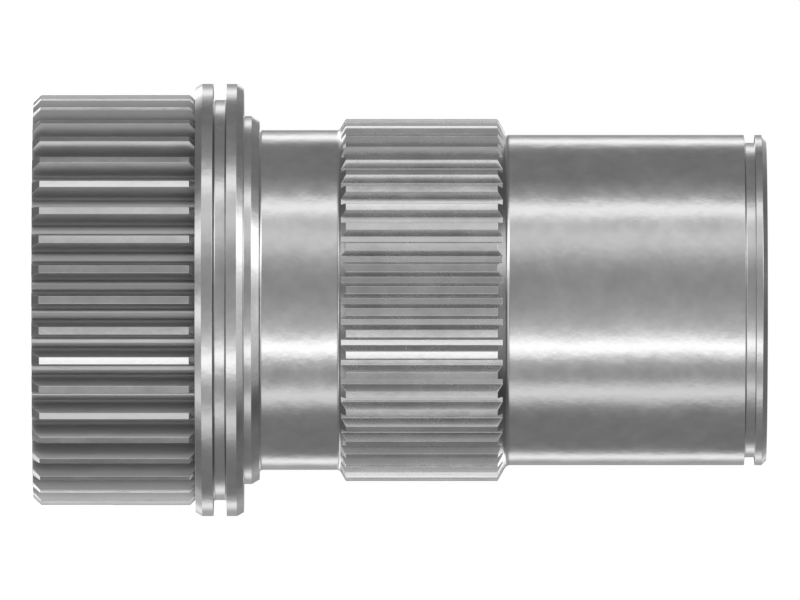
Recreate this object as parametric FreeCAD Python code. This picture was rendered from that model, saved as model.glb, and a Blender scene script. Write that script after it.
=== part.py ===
import FreeCAD, Part
import math
import os

# Sun gear of a heavy planetary drive: one steel sleeve, turned on its outside and bored through,
# then cut with a 42-tooth involute gear at one end and a 52-tooth spline in the middle.
# Sizes are in millimetres. The axis is +Z, the gear's end face lies at z = 0, and the sleeve
# stands on it. One gear tooth is centred on -Y.

# Gear teeth: the module, teeth and profile shift give the pitch, tip and root circles
gear_teeth = 42
gear_module = 3.0
gear_pressure_angle = 20.0
gear_profile_shift = -0.25
gear_addendum_factor = 1.0
gear_dedendum_factor = 1.25
gear_root_fillet = 0.6
gear_face_width = 51.55
gear_end_chamfer = 2.4
gear_inner_chamfer = 1.8
gear_flank_arcs = 2

# Spline teeth, with sharp roots and one gap beside the line through the gear's first tooth
spline_teeth = 52
spline_pitch_diameter = 113.0
spline_pressure_angle = 25.0
spline_addendum_factor = 0.5
spline_dedendum_factor = 0.75
spline_width = 53.15
spline_chamfer_angle = 60.0
spline_gap_phase = 0.3
spline_flank_arcs = 1

# Two flanges with the ring groove between them
flange_radius = 68.7
gear_flange_width = 5.6
shaft_flange_width = 5.4
flange_chamfer_length = 2.1
flange_chamfer_angle = 30.0
ring_groove_width = 4.25
ring_groove_radius = 63.6
ring_groove_corner = 0.45
ring_groove_fillet = 0.6

# Shoulder behind the flanges
shoulder_radius = 58.5
shoulder_width = 5.0
shoulder_chamfer_length = 2.45
shoulder_chamfer_angle = 30.0
shoulder_fillet = 1.0

# Journal between the shoulder and the spline
near_journal_radius = 54.0
near_journal_length = 25.4
near_spline_fillet = 1.5

# Journal between the spline and the retaining-ring groove
far_journal_radius = 52.5
far_journal_length = 75.45
far_spline_fillet = 1.8

# Retaining-ring groove and end collar
retaining_groove_radius = 50.0
retaining_groove_width = 3.35
end_collar_width = 3.65
end_chamfer = 1.45

# Through bore for the inner shaft
bore_radius = 35.0
bore_chamfer = 2.0

# Circles of the gear
gear_pitch_radius = gear_module * gear_teeth / 2
gear_tip_radius = gear_pitch_radius + gear_module * (gear_addendum_factor + gear_profile_shift)
gear_root_radius = gear_pitch_radius - gear_module * (gear_dedendum_factor - gear_profile_shift)

# Circles of the spline
spline_module = spline_pitch_diameter / spline_teeth
spline_tip_radius = spline_pitch_diameter / 2 + spline_module * spline_addendum_factor
spline_root_radius = spline_pitch_diameter / 2 - spline_module * spline_dedendum_factor

# Heights of the steps along the axis
gear_flange_z = gear_face_width
ring_groove_z = gear_flange_z + gear_flange_width
shaft_flange_z = ring_groove_z + ring_groove_width
shoulder_z = shaft_flange_z + shaft_flange_width
near_journal_z = shoulder_z + shoulder_width
spline_z = near_journal_z + near_journal_length
far_journal_z = spline_z + spline_width
retaining_groove_z = far_journal_z + far_journal_length
end_collar_z = retaining_groove_z + retaining_groove_width
end_z = end_collar_z + end_collar_width

# The gap cutters reach this far past the tips, and past an open end face
cutter_overrun = 0.8

# How strongly the points of a flank crowd towards the root, 1 being evenly spaced
point_crowding = 1.6

# A root fillet takes at most this share of half the gap's width at the root
fillet_share = 0.8

# Halvings that find where a root fillet touches its flank
fillet_halvings = 60

AXIS = FreeCAD.Vector(0, 0, 1)
ORIGIN = FreeCAD.Vector(0, 0, 0)


def tan_deg(angle):
    return math.tan(math.radians(angle))


def involute(angle):
    """Involute function of an angle in radians."""
    return math.tan(angle) - angle


class TurnedProfile:
    """Half outline of a turned body, drawn corner by corner from the bore outwards.

    A corner may have a fillet, which is drawn as the two chords of its arc.
    """

    def __init__(self, radius, z):
        self.corners = [FreeCAD.Vector(radius, 0, z)]
        self.fillets = [0]

    def line(self, radius, z, fillet=0):
        self.corners.append(FreeCAD.Vector(radius, 0, z))
        self.fillets.append(fillet)

    def rounded(self, i):
        """Start, middle and end of the fillet at a corner, or the corner alone."""
        corner, fillet = self.corners[i], self.fillets[i]
        if not fillet:
            return [corner]
        to_last = (self.corners[i - 1] - corner).normalize()
        to_next = (self.corners[i + 1] - corner).normalize()
        half_angle = to_last.getAngle(to_next) / 2
        reach = fillet / math.tan(half_angle)
        inset = fillet / math.sin(half_angle) - fillet
        middle = corner + (to_last + to_next).normalize() * inset
        return [corner + to_last * reach, middle, corner + to_next * reach]

    def revolve(self):
        outline = [point for i in range(len(self.corners)) for point in self.rounded(i)]
        return Part.Face(Part.makePolygon(outline + outline[:1])).revolve(ORIGIN, AXIS, 360)


def draw_gear_blank(profile):
    """End face, tip cylinder and the two tip chamfers of the gear."""
    profile.line(gear_tip_radius - gear_end_chamfer, 0)
    profile.line(gear_tip_radius, gear_end_chamfer)
    profile.line(gear_tip_radius, gear_flange_z - gear_inner_chamfer)
    profile.line(gear_tip_radius - gear_inner_chamfer, gear_flange_z)


def draw_flanges(profile):
    """The two flanges, chamfered on their outer faces, with the ring groove between them."""
    flange_drop = flange_chamfer_length * tan_deg(flange_chamfer_angle)
    profile.line(flange_radius - flange_drop, gear_flange_z)
    profile.line(flange_radius, gear_flange_z + flange_chamfer_length)
    profile.line(flange_radius, ring_groove_z)
    profile.line(ring_groove_radius, ring_groove_z, ring_groove_fillet)
    profile.line(ring_groove_radius, shaft_flange_z - ring_groove_corner)
    profile.line(ring_groove_radius + ring_groove_corner, shaft_flange_z)
    profile.line(flange_radius, shaft_flange_z)
    profile.line(flange_radius, shoulder_z - flange_chamfer_length)
    profile.line(flange_radius - flange_drop, shoulder_z)


def draw_shoulder(profile):
    """Shoulder ring, chamfered towards the journal."""
    shoulder_drop = shoulder_chamfer_length * tan_deg(shoulder_chamfer_angle)
    profile.line(shoulder_radius, shoulder_z)
    profile.line(shoulder_radius, near_journal_z - shoulder_chamfer_length)
    profile.line(shoulder_radius - shoulder_drop, near_journal_z)


def draw_near_journal(profile):
    """Ground journal from the fillet in the shoulder's corner to the spline's first cone."""
    profile.line(near_journal_radius, near_journal_z, shoulder_fillet)
    profile.line(near_journal_radius, spline_z, near_spline_fillet)


def draw_spline_blank(profile):
    """Tip cylinder of the spline with a steep cone at each end, down to the two journals."""
    slope = tan_deg(spline_chamfer_angle)
    near_cone = (spline_tip_radius - near_journal_radius) / slope
    far_cone = (spline_tip_radius - far_journal_radius) / slope
    profile.line(spline_tip_radius, spline_z + near_cone)
    profile.line(spline_tip_radius, far_journal_z - far_cone)


def draw_far_journal(profile):
    """Ground journal from the foot of the spline's second cone to the retaining-ring groove."""
    profile.line(far_journal_radius, far_journal_z, far_spline_fillet)
    profile.line(far_journal_radius, retaining_groove_z)


def draw_end(profile):
    """Retaining-ring groove, then the chamfered end collar."""
    profile.line(retaining_groove_radius, retaining_groove_z)
    profile.line(retaining_groove_radius, end_collar_z)
    profile.line(far_journal_radius, end_collar_z)
    profile.line(far_journal_radius, end_z - end_chamfer)
    profile.line(far_journal_radius - end_chamfer, end_z)


def draw_bore(profile):
    """Through bore with a lead-in chamfer at each end."""
    profile.line(bore_radius + bore_chamfer, end_z)
    profile.line(bore_radius, end_z - bore_chamfer)
    profile.line(bore_radius, bore_chamfer)


def turned_blank():
    """The whole sleeve as it leaves the lathe, before any tooth is cut."""
    profile = TurnedProfile(bore_radius + bore_chamfer, 0)
    draw_gear_blank(profile)
    draw_flanges(profile)
    draw_shoulder(profile)
    draw_near_journal(profile)
    draw_spline_blank(profile)
    draw_far_journal(profile)
    draw_end(profile)
    draw_bore(profile)
    return profile.revolve()


def polar_point(radius, angle, z):
    """Point at an angle measured from -Y towards +X."""
    return FreeCAD.Vector(radius * math.sin(angle), -radius * math.cos(angle), z)


def rooted_fillet(flank_angle, base_radius, root_radius, fillet):
    """Where a root fillet touches the flank, and its centre, as radius, radius and angle.

    The fillet touches the root circle, so its centre lies one fillet radius outside it. Halving
    the range of radii finds the point of the flank that is also one fillet radius away.
    """
    low, high = root_radius, root_radius + 2 * fillet
    for _ in range(fillet_halvings):
        foot = (low + high) / 2
        lean = math.acos(min(1.0, base_radius / foot))
        out = foot + fillet * math.sin(lean)
        across = fillet * math.cos(lean)
        if math.hypot(out, across) < root_radius + fillet:
            low = foot
        else:
            high = foot
    return foot, root_radius + fillet, flank_angle(foot) - math.atan2(across, out)


def gap_cutter(gap_at_base, base_radius, root_radius, outer_radius, low_z, high_z, arcs, fillet=0):
    """Prism with the shape of one tooth gap, centred on -Y.

    gap_at_base is the gap's half angle at the base circle. Each flank is radial below that circle
    and an involute above it, drawn as arcs through points of the true curve, which lie closer
    together near the root, where it curls most. A fillet joins it to the root circle, or else
    the corner stays sharp.
    """

    def flank_angle(radius):
        if radius <= base_radius:
            return gap_at_base
        return gap_at_base + involute(math.acos(base_radius / radius))

    foot = root_radius
    root_angle = flank_angle(root_radius)
    fillet = min(fillet, fillet_share * root_radius * root_angle)
    if fillet > 0:
        foot, centre_radius, root_angle = rooted_fillet(
            flank_angle, base_radius, root_radius, fillet
        )
    spans = 2 * arcs
    shares = [(i / spans) ** point_crowding for i in range(spans + 1)]
    radii = [foot + (outer_radius - foot) * share for share in shares]

    edges = []
    for side in (1, -1):
        points = [polar_point(radius, side * flank_angle(radius), low_z) for radius in radii]
        for i in range(0, spans, 2):
            edges.append(Part.Arc(*points[i:i + 3]).toShape())
        if fillet > 0:
            centre = polar_point(centre_radius, side * root_angle, low_z)
            touch_root = polar_point(root_radius, side * root_angle, low_z)
            between = (points[0] + touch_root) * 0.5 - centre
            middle = centre + between.normalize() * fillet
            edges.append(Part.Arc(touch_root, middle, points[0]).toShape())
    root_arc = [polar_point(root_radius, turn * root_angle, low_z) for turn in (1, 0, -1)]
    edges.append(Part.Arc(*root_arc).toShape())
    outer_angle = flank_angle(outer_radius)
    outer_ends = [polar_point(outer_radius, turn * outer_angle, low_z) for turn in (1, -1)]
    edges.append(Part.LineSegment(*outer_ends).toShape())
    outline = Part.Wire(Part.__sortEdges__(edges))
    return Part.Face(outline).extrude(AXIS * (high_z - low_z))


def ring_of(cutter, teeth, first_angle):
    """One cutter for every gap, turned about the axis from the first angle in radians."""
    copies = []
    for i in range(teeth):
        copy = cutter.copy()
        copy.rotate(ORIGIN, AXIS, math.degrees(first_angle) + 360.0 * i / teeth)
        copies.append(copy)
    return copies


def half_gap_at_base(gap, pitch_radius, pressure_angle):
    """Half angle of a gap at the base circle, from its width along the pitch circle."""
    return gap / (2 * pitch_radius) - involute(math.radians(pressure_angle))


def gear_gaps():
    """Gaps of the gear, open at the end face and stopped by the first flange."""
    shift = 2 * gear_profile_shift * tan_deg(gear_pressure_angle)
    gap = gear_module * (math.pi / 2 - shift)
    cutter = gap_cutter(
        half_gap_at_base(gap, gear_pitch_radius, gear_pressure_angle),
        gear_pitch_radius * math.cos(math.radians(gear_pressure_angle)),
        gear_root_radius,
        gear_tip_radius + cutter_overrun,
        -cutter_overrun,
        gear_flange_z,
        gear_flank_arcs,
        gear_root_fillet,
    )
    return ring_of(cutter, gear_teeth, math.pi / gear_teeth)


def spline_gaps():
    """Gaps of the spline, open at both ends above its neighbours."""
    pitch_radius = spline_pitch_diameter / 2
    gap = spline_module * math.pi / 2
    cutter = gap_cutter(
        half_gap_at_base(gap, pitch_radius, spline_pressure_angle),
        pitch_radius * math.cos(math.radians(spline_pressure_angle)),
        spline_root_radius,
        spline_tip_radius + cutter_overrun,
        spline_z,
        far_journal_z,
        spline_flank_arcs,
    )
    return ring_of(cutter, spline_teeth, math.radians(spline_gap_phase))


def make_sun_gear():
    return turned_blank().cut(gear_gaps() + spline_gaps()).removeSplitter()


os.makedirs("parts", exist_ok=True)
sun_gear = make_sun_gear()
sun_gear.exportStep("parts/sun_gear.step")
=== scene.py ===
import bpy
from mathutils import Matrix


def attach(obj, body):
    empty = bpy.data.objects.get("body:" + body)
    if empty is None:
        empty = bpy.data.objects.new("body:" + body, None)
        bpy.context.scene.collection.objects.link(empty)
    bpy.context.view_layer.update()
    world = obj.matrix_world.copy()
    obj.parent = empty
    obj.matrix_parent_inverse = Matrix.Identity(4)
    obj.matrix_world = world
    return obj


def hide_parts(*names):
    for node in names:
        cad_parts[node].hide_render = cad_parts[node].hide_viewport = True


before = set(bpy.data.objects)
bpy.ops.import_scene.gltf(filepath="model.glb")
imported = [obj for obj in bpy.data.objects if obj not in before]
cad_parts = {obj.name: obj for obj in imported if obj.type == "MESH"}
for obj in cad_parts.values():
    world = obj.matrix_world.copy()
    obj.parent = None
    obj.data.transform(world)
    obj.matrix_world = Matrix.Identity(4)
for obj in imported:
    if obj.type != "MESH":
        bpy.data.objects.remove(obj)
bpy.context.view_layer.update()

import math

import bpy
import numpy as np
from mathutils import Matrix

# Lengths are in millimetres until a mesh is made. Angles go round the axis from -Y towards +X.
MM = 0.001
AXIS = np.array([0.0, 0.0, 1.0])

# Gear: the radii of its tips, its roots and the flanks' base circle, half a gap's angle at that
# circle, the root fillet, the radii where the tip chamfers start at the open end and at the
# flange, and the radii where a flank has a column.
GEAR_TEETH = 42
GEAR_TIP, GEAR_ROOT, GEAR_BASE = 65.25, 58.5, 59.2006
GEAR_GAP_AT_BASE = 0.0268285
GEAR_ROOT_FILLET = 1.25
GEAR_END_FOOT, GEAR_FLANGE_FOOT = 62.85, 63.45
GEAR_FLANK_RADII = (60.3, 61.6, GEAR_END_FOOT, GEAR_FLANGE_FOOT, 64.4)

# Spline: the same for its shorter teeth, its turn against the gear, how far from a rounded tip
# edge towards the tooth's middle the next column stands, and the cones that end the teeth, as
# foot height, foot radius and the height where the cone meets the tips.
SPLINE_TEETH = 52
SPLINE_TIP, SPLINE_ROOT, SPLINE_BASE = 57.587, 54.87, 51.2064
SPLINE_GAP_AT_BASE = 0.00023228
SPLINE_ROOT_FILLET = 0.25
SPLINE_FLANK_RADII = (55.4, 56.1, 56.8)
SPLINE_PHASE = math.radians(0.3)
LAND_SHARE = 0.6
NEAR_CONE = (97.2, 54.0, 99.271)
FAR_CONE = (150.35, 52.5, 147.413)

# Columns of points round the sleeve: 26 to a gear tooth, which make 21 to a spline tooth.
COLUMNS = 26 * GEAR_TEETH

# Radius of the rounded tooth tips, and reach of the small edges at the tooth ends.
TOOTH_EDGE, END_EDGE = 0.16, 0.12
# Radii closer than this are taken as one.
TOUCH = 0.01
# Turned corners get a middle row past this turn, and two more rows past this fillet radius.
SHARP_TURN, FILLET = math.radians(50), 0.5

# Heights of the flange's face and the shoulder's wall, and the radii of the plain rings of points
# on them and on the gear's end face at z = 0.
FLANGE_FACE, SHOULDER_WALL = 51.55, 71.8
END_RINGS, FLANGE_RING, SHOULDER_RINGS = (40.0, 57.9), 64.6, (56.4, 55.6)

# Finishes of the stretches, from 0 for the gear's hobbed flanks to 1 for a ground journal, and
# past it for the far cone, whose finish paints shade on it as a darker grey.
HOBBED, SHAPED, TURNED, GROUND, SHADED_CONE = 0.0, 0.35, 0.5, 1.0, 1.5

# Turned line from the flange's face to the shoulder's wall, as z, radius, edge radius and the
# finish after it. The first and last points of a line only give it a direction.
FLANGE_LINE = (
    (FLANGE_FACE, FLANGE_RING, 0.0, TURNED),
    (FLANGE_FACE, 67.488, 0.15, TURNED),
    (53.65, 68.7, 0.25, TURNED),
    (57.15, 68.7, 0.12, TURNED),
    (57.15, 63.6, 0.9, TURNED),
    (60.95, 63.6, 0.3, TURNED),
    (61.4, 64.05, 0.2, TURNED),
    (61.4, 68.7, 0.12, TURNED),
    (64.7, 68.7, 0.25, TURNED),
    (66.8, 67.488, 0.15, TURNED),
    (66.8, 58.5, 0.35, TURNED),
    (69.35, 58.5, 0.25, TURNED),
    (SHOULDER_WALL, 57.085, 0.1, TURNED),
    (SHOULDER_WALL, SHOULDER_RINGS[0], 0.0, TURNED),
)
# The fillet in the shoulder's corner, and the ground journal up to the spline's first cone.
NEAR_JOURNAL_LINE = (
    (SHOULDER_WALL, SHOULDER_RINGS[1], 0.0, TURNED),
    (SHOULDER_WALL, 54.0, 1.0, GROUND),
    (NEAR_CONE[0], NEAR_CONE[1], 1.5, TURNED),
    (NEAR_CONE[2], SPLINE_TIP, 0.0, TURNED),
)
# From the second cone over the long journal and the ring groove to the bore and the first face.
FAR_JOURNAL_LINE = (
    # The far cone's finish paints shade on it as a darker grey.
    (FAR_CONE[2], SPLINE_TIP, 0.0, SHADED_CONE),
    (FAR_CONE[0], FAR_CONE[1], 1.8, GROUND),
    (225.8, 52.5, 0.12, TURNED),
    (225.8, 50.0, 0.55, TURNED),
    (229.15, 50.0, 0.2, TURNED),
    (229.15, 52.5, 0.15, TURNED),
    (231.35, 52.5, 0.25, TURNED),
    (232.8, 51.05, 0.2, TURNED),
    (232.8, 37.0, 0.25, TURNED),
    (230.8, 35.0, 0.4, TURNED),
    (2.0, 35.0, 0.4, TURNED),
    (0.0, 37.0, 0.25, TURNED),
    (0.0, END_RINGS[0], 0.0, TURNED),
)

# Steel: features to a metre of the clouds, the patches, the grain and the lathe marks.
CLOUDS, PATCHES, GRAIN, MARKS = 70.0, 180.0, 1400.0, 2520.0
# Greys of the dark and pale clouds, of the hobbed tooth surfaces, darker as painted shade in the
# gaps, and of the far cone, darker still as painted shade.
STEEL_DARK, STEEL_PALE, HOBBED_SHADE_GREY, CONE_SHADE_GREY = 0.50, 0.62, 0.50, 0.38

# Soft panels of the studio: azimuth from the camera towards -X and elevation, both in degrees,
# half widths in both, and brightness.
PANELS = (
    (-33, 0, 6, 30, 1.68),
    (-27, 0, 20, 30, 0.38),
    (-68.5, 0, 8, 28, 1.02),
    (66.5, 0, 7, 32, 1.42),
    (43, 0, 14, 32, 0.63),
    (82, 0, 6, 20, 0.12),
    (0, 0, 65, 40, 0.14),
    (47, 52, 19, 22, 3.0),
    (-14, 50, 52, 15, 1.02),
    (-84, 49, 20, 14, -0.26),
    (38, 27, 22, 10, 1.7),
    (146, -3, 6.8, 12, 1.68),
    (158, -13, 10, 8, 1.9),
    (-143, -3, 6.5, 15, 1.5),
    (-154, 15, 7, 9, 0.3),
    (-169, 22, 5, 9, 2.6),
    (-146, -34, 9, 9, 1.8),
    (-161, -20, 6, 7, 1.8),
    (165, -20, 6, 7, 1.9),
    (152, 28, 10, 9, 0.17),
    (172.5, 6.5, 3.6, 4, 2.7),
    (167, 21, 6, 7.5, 0.8),
    (-163, -11, 8, 9, 0.85),
    (48, -56, 17, 16, 1.7),
    (-11, -60, 15, 12, 1.8),
    (-70, -52, 15, 14, 1.15),
    (-44, -57, 12, 12, 0.2),
)
# The room between the panels, how much darker it is a radian up or down, and the most light that
# overlapping panels give.
ROOM_LIGHT, ROOM_FALL, MOST_LIGHT = 0.27, 0.07, 2.5

# In metres: the floor's half width and its gap under the part, the width that the camera sees,
# the height that it looks at, and the nearest and farthest that it sees.
FLOOR_HALF, FLOOR_GAP = 2.5, 0.0002
VIEW_WIDTH, VIEW_HEIGHT = 0.2544, 0.11645
NEAREST, FARTHEST = 1.0, 50.0
# The camera's lens and the width of its sensor, in millimetres as Blender has them.
LENS, SENSOR = 1270.0, 36.0


def unit(vectors):
    """Each row divided by its own length."""
    return vectors / np.linalg.norm(vectors, axis=-1, keepdims=True)


def flank(radius, base, gap_at_base):
    """Involute flank on the far side of a gap, as angle, radius and the two parts of its normal.

    With lean = arccos(base / radius), the angle is the half gap at the base circle plus
    tan(lean) - lean, and the normal leans back towards the gap: sin(lean) outwards and
    cos(lean) against the angle.
    """
    radius = np.asarray(radius, float)
    lean = np.arccos(np.minimum(1.0, base / radius))
    return np.stack([gap_at_base + np.tan(lean) - lean, radius, np.sin(lean), -np.cos(lean)], -1)


def rounded_corner(angle, radius, lean, edge, hollow):
    """Three points of the small arc between a flank and the circle it meets.

    The arc turns by a right angle less the lean. It touches both sides at edge * tan(turn / 2)
    from the sharp corner, and its middle stands edge / cos(turn / 2) - edge off that corner, into
    the gap at a hollow corner and into the tooth at a tip.
    """
    turn = math.pi / 2 - lean
    reach, inset = edge * math.tan(turn / 2), edge / math.cos(turn / 2) - edge
    side = 1.0 if hollow else -1.0
    on_circle = (angle - side * reach / radius, radius, 1.0, 0.0)
    on_flank = (
        angle + side * reach * math.sin(lean) / radius,
        radius + side * reach * math.cos(lean),
        math.sin(lean),
        -math.cos(lean),
    )
    out, across = unit(np.array([1 + math.sin(lean), -math.cos(lean)]))
    between = (angle + side * inset * across / radius, radius + side * inset * out, out, across)
    points = [on_circle, between, on_flank]
    return np.array(points if hollow else points[::-1])


def gear_half_gap():
    """Half a gear gap: root land, root fillet, involute, rounded tip and half the tip land.

    The fillet's centre stands one fillet radius outside the root circle and as far from the
    radial foot of the flank, and its arc is cut in three equal turns.
    """
    centre = GEAR_ROOT + GEAR_ROOT_FILLET
    turn_in = math.asin(GEAR_ROOT_FILLET / centre)
    middle = GEAR_GAP_AT_BASE - turn_in
    turn = np.linspace(0.0, math.pi / 2 + turn_in, 4)
    out = centre - GEAR_ROOT_FILLET * np.cos(turn)
    across = GEAR_ROOT_FILLET * np.sin(turn)
    fillet = np.stack(
        [middle + np.arctan2(across, out), np.hypot(out, across), np.cos(turn), -np.sin(turn)], -1
    )
    sides = flank(GEAR_FLANK_RADII, GEAR_BASE, GEAR_GAP_AT_BASE)
    corner = flank(GEAR_TIP, GEAR_BASE, GEAR_GAP_AT_BASE)
    tip = rounded_corner(corner[0], GEAR_TIP, math.acos(GEAR_BASE / GEAR_TIP), TOOTH_EDGE, False)
    ends = np.array([[0.0, GEAR_ROOT, 1.0, 0.0], [math.pi / GEAR_TEETH, GEAR_TIP, 1.0, 0.0]])
    return np.concatenate([ends[:1], fillet, sides, tip, ends[1:]])


def spline_half_gap():
    """Half a spline gap: root land, hollow corner, involute, rounded tip and part of the land.

    The last point goes LAND_SHARE of the way from the tip's rounded edge to the tooth's middle.
    """
    foot = flank(SPLINE_ROOT, SPLINE_BASE, SPLINE_GAP_AT_BASE)
    head = flank(SPLINE_TIP, SPLINE_BASE, SPLINE_GAP_AT_BASE)
    root_lean = math.acos(SPLINE_BASE / SPLINE_ROOT)
    tip_lean = math.acos(SPLINE_BASE / SPLINE_TIP)
    root = rounded_corner(foot[0], SPLINE_ROOT, root_lean, SPLINE_ROOT_FILLET, True)
    sides = flank(SPLINE_FLANK_RADII, SPLINE_BASE, SPLINE_GAP_AT_BASE)
    tip = rounded_corner(head[0], SPLINE_TIP, tip_lean, TOOTH_EDGE, False)
    land = (1 - LAND_SHARE) * tip[-1, 0] + LAND_SHARE * math.pi / SPLINE_TEETH
    ends = np.array([[0.0, SPLINE_ROOT, 1.0, 0.0], [land, SPLINE_TIP, 1.0, 0.0]])
    return np.concatenate([ends[:1], root, sides, tip, ends[1:]])


class ToothRing:
    """One toothed outline: half a gap mirrored about its tooth and repeated round the axis.

    The first gap's middle is at the angle first_gap. A centred half ends on the tooth's middle,
    so its last point isn't mirrored. A column's direction at angle a is (sin a, -cos a, 0), and
    the way round from it is (cos a, sin a, 0). Its normal adds the outline's outward and sideways
    parts along the two.
    """

    def __init__(self, half, teeth, first_gap, centred):
        pitch = 2 * math.pi / teeth
        back = half[-2:0:-1] if centred else half[:0:-1]
        back = back * (-1, 1, 1, -1) + (pitch, 0, 0, 0)
        tooth = np.concatenate([half, back])
        turns = first_gap + pitch * np.arange(teeth)
        angle = (tooth[:, 0] + turns[:, None]).ravel() % (2 * math.pi)
        order = np.argsort(angle)
        self.radius, self.out, self.across = (
            np.tile(tooth[:, i], teeth)[order] for i in (1, 2, 3)
        )
        angle = angle[order]
        nought = np.zeros_like(angle)
        self.radial = np.stack([np.sin(angle), -np.cos(angle), nought], -1)
        self.tangent = np.stack([np.cos(angle), np.sin(angle), nought], -1)
        self.normal = self.out[:, None] * self.radial + self.across[:, None] * self.tangent

    def at(self, radius, z):
        """Each column's point: its radius times its direction, plus its height up the axis."""
        radius, z = (np.broadcast_to(v, self.radius.shape)[:, None] for v in (radius, z))
        return radius * self.radial + z * AXIS

    def facing(self, out, up):
        """Each column's normal: the outward part times its direction, plus the upward part."""
        return out * self.radial + up * AXIS


gear = ToothRing(gear_half_gap(), GEAR_TEETH, math.pi / GEAR_TEETH, True)
spline = ToothRing(spline_half_gap(), SPLINE_TEETH, SPLINE_PHASE, False)


def turned_rows(ring, line):
    """Rows of columns along a turned line, with an arc at each of its inner corners.

    An arc starts edge * tan(turn / 2) before its corner. After turning by an angle it has moved
    edge * sin(angle) along the line before it and edge * (1 - cos(angle)) towards its centre.
    A fillet is cut in four, another sharp edge in two, and the rest get only their two ends. The
    normal is the line's direction turned a quarter to its left. The edge mark of an outer sharp
    edge rises to 1 at the arc's middle.
    """
    z, radius, edge, finish = np.array(line).T
    points = np.stack([z, radius], -1)
    run = unit(np.diff(points, axis=0))
    before, after, corner, edge = run[:-1], run[1:], points[1:-1], edge[1:-1]
    turn = np.arccos(np.clip((before * after).sum(-1), -1, 1))
    inwards = unit(after - before * np.cos(turn)[:, None])
    share = np.linspace(0, 1, 5)
    angle = turn[:, None] * share
    cosine, sine = np.cos(angle)[..., None], np.sin(angle)[..., None]
    along = cosine * before[:, None] + sine * inwards[:, None]
    start = corner - before * (edge * np.tan(turn / 2))[:, None]
    arc = sine * before[:, None] + (1 - cosine) * inwards[:, None]
    places = start[:, None] + edge[:, None, None] * arc
    finishes = finish[:-2, None] * (1 - share) + finish[1:-1, None] * share
    sharp, fillet, ends = turn > SHARP_TURN, edge > FILLET, np.ones(len(turn), bool)
    bend = before[:, 0] * after[:, 1] - before[:, 1] * after[:, 0]
    marks = (sharp & (bend < 0))[:, None] * (1 - np.abs(2 * share - 1))
    keep = np.stack([ends, fillet, sharp, fillet, ends], 1)
    return [
        (ring.at(r, z), ring.facing(d[0], -d[1]), np.full(COLUMNS, f), np.full(COLUMNS, m))
        for (z, r), d, f, m in zip(places[keep], along[keep], finishes[keep], marks[keep])
    ]


def face_row(ring, radius, z, up):
    """One circle of points on a flat face, which looks along the axis."""
    plain = np.zeros(COLUMNS)
    return ring.at(radius, z), ring.facing(0, up), plain + TURNED, plain


def tooth_finish(ring, tip, cut):
    """Finish and edge mark of each column of a tooth ring.

    The tip lands are turned and the rest has the cutter's finish, which the steel also paints
    darker as shade in the gaps. The mark is on the middle column of each rounded tip, the only one
    near the tip circle whose normal leans halfway.
    """
    land = ring.radius > tip - TOUCH
    leans_halfway = (ring.out > 0.5) & (ring.out < 0.95)
    rounded = (ring.radius > tip - TOOTH_EDGE) & leans_halfway
    return np.where(land, TURNED, cut), rounded.astype(float)


def gear_rows():
    """The gear's teeth between its open end face and the flange.

    Each column keeps its place on the outline. Where its radius is above the chamfer's foot, the
    column runs up the 45 degree chamfer until it meets the outline, at a height equal to how far
    it stands above the foot, so that the chamfer's edge follows the flank exactly. Every sharp
    edge is cut off END_EDGE to either side of it.
    """
    finish, mark = tooth_finish(gear, GEAR_TIP, HOBBED)
    plain = np.zeros(COLUMNS)
    slope = END_EDGE * math.sqrt(0.5)
    rows = []
    for foot, face, up in ((GEAR_END_FOOT, 0.0, -1), (GEAR_FLANGE_FOOT, FLANGE_FACE, 1)):
        above = gear.radius - foot
        chamfered = above > TOUCH
        cut = chamfered[:, None]
        rim = np.where(
            cut,
            gear.at(foot + up * END_EDGE, face),
            gear.at(gear.radius, face) + up * END_EDGE * gear.normal,
        )
        low = np.where(
            cut,
            gear.at(foot + slope, face - up * slope),
            gear.at(gear.radius, face - up * END_EDGE),
        )
        high = np.where(
            cut,
            gear.at(gear.radius - slope, face - up * (above - slope)),
            gear.at(gear.radius, face - up * 2 * END_EDGE),
        )
        beyond = gear.at(
            gear.radius, face - up * np.where(chamfered, above + END_EDGE, 3 * END_EDGE)
        )
        facing = np.where(cut, unit(gear.facing(1, up)), gear.normal)
        end = [
            (rim, gear.facing(0, -1), finish, plain),
            (low, facing, finish, plain),
            (high, facing, finish, plain),
            (beyond, gear.normal, finish, mark),
        ]
        rows += end if up < 0 else end[::-1]
    return rows


def spline_rows():
    """The spline's teeth between its two cones.

    A cone rises from its foot towards the teeth. A column leaves it where the cone's radius
    equals the column's own, at the foot's height plus (radius - foot radius) * run / rise towards
    the teeth, so each tooth ends in the lens that a steep cone cuts from it.
    """
    finish, mark = tooth_finish(spline, SPLINE_TIP, SHAPED)
    rows = []
    # The far cone's finish paints shade on it as a darker grey.
    for (foot_z, foot, tip_z), up, left in ((NEAR_CONE, -1, TURNED), (FAR_CONE, 1, SHADED_CONE)):
        rise, run = unit(np.array([SPLINE_TIP - foot, abs(tip_z - foot_z)]))
        meet = foot_z - up * (spline.radius - foot) * run / rise
        end = [
            (
                spline.at(spline.radius - END_EDGE * rise, meet + up * END_EDGE * run),
                spline.facing(run, up * rise),
                np.full(COLUMNS, left),
                np.zeros(COLUMNS),
            ),
            (spline.at(spline.radius, meet - up * END_EDGE), spline.normal, finish, mark),
        ]
        rows += end if up < 0 else end[::-1]
    return rows


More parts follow.
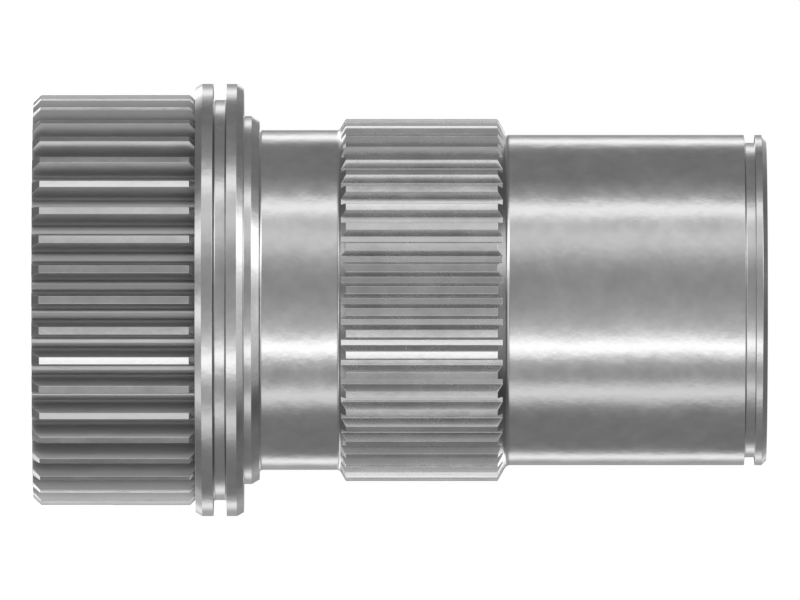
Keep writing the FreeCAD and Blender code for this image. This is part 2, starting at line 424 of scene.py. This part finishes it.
def ring_mesh(name, rows):
    """Closed mesh from rows of columns, each of them points, normals, finish and edge mark.

    A face joins a point, the next one round and the two beside them on the next row. The last
    column joins the first, and the last row the first.
    """
    points, normals, finish, edge = (np.stack([row[i] for row in rows]) for i in range(4))
    here = np.arange(len(rows))[:, None] * COLUMNS + np.arange(COLUMNS)
    beside = np.roll(here, -1, axis=1)
    quads = np.stack([here, beside, np.roll(beside, -1, axis=0), np.roll(here, -1, axis=0)], -1)
    mesh = bpy.data.meshes.new(name)
    mesh.vertices.add(points.size // 3)
    mesh.vertices.foreach_set("co", (points * MM).astype(np.float32).ravel())
    mesh.loops.add(quads.size)
    mesh.loops.foreach_set("vertex_index", quads.astype(np.int32).ravel())
    mesh.polygons.add(quads.size // 4)
    mesh.polygons.foreach_set("loop_start", np.arange(0, quads.size, 4, dtype=np.int32))
    for key, values in (("finish", finish), ("edge", edge)):
        mesh.attributes.new(key, "FLOAT", "POINT").data.foreach_set(
            "value", values.astype(np.float32).ravel()
        )
    mesh.update(calc_edges=True)
    mesh.shade_smooth()
    mesh.normals_split_custom_set_from_vertices(unit(normals).reshape(-1, 3).tolist())
    return mesh


class Wire:
    """A node's output as a number, with the arithmetic that adds Math nodes to its tree."""

    def __init__(self, bench, socket):
        self.bench, self.socket = bench, socket

    def __add__(self, other):
        return self.bench.maths("ADD", self, other)

    def __sub__(self, other):
        return self.bench.maths("SUBTRACT", self, other)

    def __rsub__(self, other):
        return self.bench.maths("SUBTRACT", other, self)

    def __mul__(self, other):
        return self.bench.maths("MULTIPLY", self, other)

    def __neg__(self):
        return self * -1.0

    __radd__, __rmul__ = __add__, __mul__

    def outputs(self):
        """Every output of the node that this one belongs to."""
        return [Wire(self.bench, socket) for socket in self.socket.node.outputs]


class Bench:
    """A node tree, emptied, with one way to add a node to it."""

    def __init__(self, tree):
        self.tree = tree
        tree.nodes.clear()

    def node(self, kind, settings, inputs, output=0):
        """A new node of this kind: its settings first, then its inputs as wires or values."""
        made = self.tree.nodes.new(kind)
        for key, value in settings.items():
            setattr(made, key, value)
        for key, value in inputs.items():
            if isinstance(value, Wire):
                self.tree.links.new(value.socket, made.inputs[key])
            else:
                made.inputs[key].default_value = value
        return Wire(self, made.outputs[output]) if len(made.outputs) else None

    def maths(self, operation, *values):
        """A Math node of this operation on these wires or values."""
        return self.node("ShaderNodeMath", {"operation": operation}, dict(enumerate(values)))


def grey(level):
    """An opaque grey."""
    return (level, level, level, 1.0)


def machined_steel():
    """Satin steel: cloudy patches of polish, fine marks round the axis and brighter edges.

    Clouds and patches are noises about 0 that sway the roughness, the grey and a slight
    unevenness. Grain sways the roughness alone. Marks are a noise of radius and height, so they
    run round the axis, and only a ground surface shows them in full. The hobbed share is 1 at the
    gear's flanks and 0 from turned on, and the cone's shade share is 0 up to ground and 1 at the
    far cone. Both bring a darker grey of their own, which is painted shade: on the cut tooth
    surfaces in the gaps, and on the far cone. Hobbed flanks are also rougher, and ground journals
    and marked edges smoother.
    """
    material = bpy.data.materials.new("machined_steel")
    material.use_nodes = True
    bench = Bench(material.node_tree)
    place = bench.node("ShaderNodeTexCoord", {}, {}, "Object")

    def noise(scale, detail, vector=place):
        inputs = {"Vector": vector, "Scale": scale, "Detail": detail, "Roughness": 0.55}
        return bench.node("ShaderNodeTexNoise", {}, inputs, "Fac")

    def attribute(name):
        return bench.node("ShaderNodeAttribute", {"attribute_name": name}, {}, "Fac")

    def blend(share, one, other):
        inputs = {0: share, 6: one, 7: other}
        return bench.node("ShaderNodeMix", {"data_type": "RGBA"}, inputs, 2)

    finish, edge = attribute("finish"), attribute("edge")
    x, y, z = bench.node("ShaderNodeSeparateXYZ", {}, {0: place}).outputs()
    radius = bench.maths("SQRT", x * x + y * y)
    marks = noise(MARKS, 2.0, bench.node("ShaderNodeCombineXYZ", {}, {0: radius, 1: z}))
    clouds = noise(CLOUDS, 4.0) - 0.5
    patches = noise(PATCHES, 3.0) - 0.5
    grain = noise(GRAIN, 2.0) - 0.5

    # The hobbed share makes the cut tooth surfaces rougher and paints shade in the gaps as a
    # darker grey.
    hobbed_and_shaded = bench.maths("MAXIMUM", 1.0 - finish * (1 / TURNED) - edge, 0.0)
    # The cone's share paints shade on the far cone as a darker grey.
    cone_shade = (bench.maths("MAXIMUM", finish, GROUND) - GROUND) * (1 / (SHADED_CONE - GROUND))
    rough = 0.225 + 0.12 * clouds + 0.07 * patches + 0.04 * grain
    rough = rough + 0.10 * hobbed_and_shaded - 0.05 * (finish - TURNED) - 0.05 * edge
    pale = 0.5 + 1.1 * patches + 1.6 * clouds + 0.3 * edge
    steel = blend(pale, grey(STEEL_DARK), grey(STEEL_PALE))
    # Painted shade: the hobbed and cone shares darken the grey.
    tone = blend(cone_shade, blend(hobbed_and_shaded, steel, grey(HOBBED_SHADE_GREY)), grey(CONE_SHADE_GREY))
    height = 0.0014 * clouds + 0.0003 * patches + 0.000005 * marks * finish
    bump = bench.node("ShaderNodeBump", {}, {"Strength": 1.0, "Distance": 0.12, "Height": height})
    surface = bench.node(
        "ShaderNodeBsdfPrincipled",
        {},
        {"Base Color": tone, "Metallic": 1.0, "Roughness": rough, "Normal": bump},
    )
    bench.node("ShaderNodeOutputMaterial", {}, {"Surface": surface})
    return material


def studio():
    """Soft panels round the part in a dim room, which the camera sees as white paper.

    The room gives ROOM_LIGHT less ROOM_FALL times the elevation, up or down. A panel adds its
    brightness times exp(-a^2 - e^2), where a and e are the angles from its middle in half widths.
    The sum is capped at MOST_LIGHT.
    """
    world = bpy.data.worlds.new("studio")
    world.use_nodes = True
    bench = Bench(world.node_tree)
    way = bench.node("ShaderNodeTexCoord", {}, {}, "Generated")
    x, y, z = bench.node("ShaderNodeSeparateXYZ", {}, {0: way}).outputs()
    azimuth = bench.maths("ARCTAN2", -x, -y)
    elevation = bench.maths("ARCSINE", z)
    light = ROOM_LIGHT - ROOM_FALL * bench.maths("ABSOLUTE", elevation)
    for side, height, wide, high, bright in PANELS:
        a = (azimuth - math.radians(side)) * (1 / math.radians(wide))
        e = (elevation - math.radians(height)) * (1 / math.radians(high))
        light = light + bright * bench.maths("EXPONENT", -(a * a) - e * e)
    light = bench.maths("MINIMUM", light, MOST_LIGHT)
    room = bench.node("ShaderNodeBackground", {}, {"Color": grey(1.0), "Strength": light})
    paper = bench.node("ShaderNodeBackground", {}, {"Color": grey(1.0), "Strength": 1.0})
    seen = bench.node("ShaderNodeLightPath", {}, {}, "Is Camera Ray")
    mixed = bench.node("ShaderNodeMixShader", {}, {0: seen, 1: room, 2: paper})
    bench.node("ShaderNodeOutputWorld", {}, {"Surface": mixed})
    bpy.context.scene.world = world


def paper_floor():
    """A pale sheet under the part, bright enough to run into the background."""
    mesh = bpy.data.meshes.new("floor")
    corners = [(-1, -1), (1, -1), (1, 1), (-1, 1)]
    points = [(x * FLOOR_HALF, y * FLOOR_HALF, -FLOOR_GAP) for x, y in corners]
    mesh.from_pydata(points, [], [(0, 1, 2, 3)])
    floor = bpy.data.objects.new("floor", mesh)
    bpy.context.scene.collection.objects.link(floor)
    material = bpy.data.materials.new("pale_paper")
    material.use_nodes = True
    bench = Bench(material.node_tree)
    surface = bench.node(
        "ShaderNodeBsdfPrincipled",
        {},
        {
            "Base Color": grey(0.8),
            "Roughness": 0.9,
            "Emission Color": grey(1.0),
            "Emission Strength": 0.8,
        },
    )
    bench.node("ShaderNodeOutputMaterial", {}, {"Surface": surface})
    mesh.materials.append(material)
    floor.visible_glossy = False


def camera():
    """Long lens square to the axis, on its side so that the part's +Z runs to the right.

    It stands back by the width that it sees at the axis times the lens over the sensor's width.
    """
    data = bpy.data.cameras.new("camera")
    data.lens, data.sensor_width = LENS, SENSOR
    data.clip_start, data.clip_end = NEAREST, FARTHEST
    shown = bpy.data.objects.new("camera", data)
    bpy.context.scene.collection.objects.link(shown)
    distance = VIEW_WIDTH * LENS / SENSOR
    shown.matrix_world = Matrix(
        ((0, -1, 0, 0), (0, 0, -1, -distance), (1, 0, 0, VIEW_HEIGHT), (0, 0, 0, 1))
    )
    bpy.context.scene.camera = shown


def sun_gear():
    """The sleeve as one closed skin, from the gear's end face round to the bore and back."""
    rows = [
        face_row(spline, END_RINGS[0], 0.0, -1),
        face_row(gear, END_RINGS[1], 0.0, -1),
        *gear_rows(),
        face_row(gear, FLANGE_RING, FLANGE_FACE, -1),
        *turned_rows(gear, FLANGE_LINE),
        face_row(gear, SHOULDER_RINGS[0], SHOULDER_WALL, 1),
        face_row(spline, SHOULDER_RINGS[1], SHOULDER_WALL, 1),
        *turned_rows(spline, NEAR_JOURNAL_LINE),
        *spline_rows(),
        *turned_rows(spline, FAR_JOURNAL_LINE),
    ]
    mesh = ring_mesh("sun_gear_steel", rows)
    mesh.materials.append(machined_steel())
    skin = bpy.data.objects.new("sun_gear_steel", mesh)
    bpy.context.scene.collection.objects.link(skin)
    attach(skin, "root")
    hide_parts("sun_gear")


sun_gear()
paper_floor()
studio()
camera()
bpy.context.scene.view_settings.view_transform = "Standard"

bpy.context.view_layer.update()
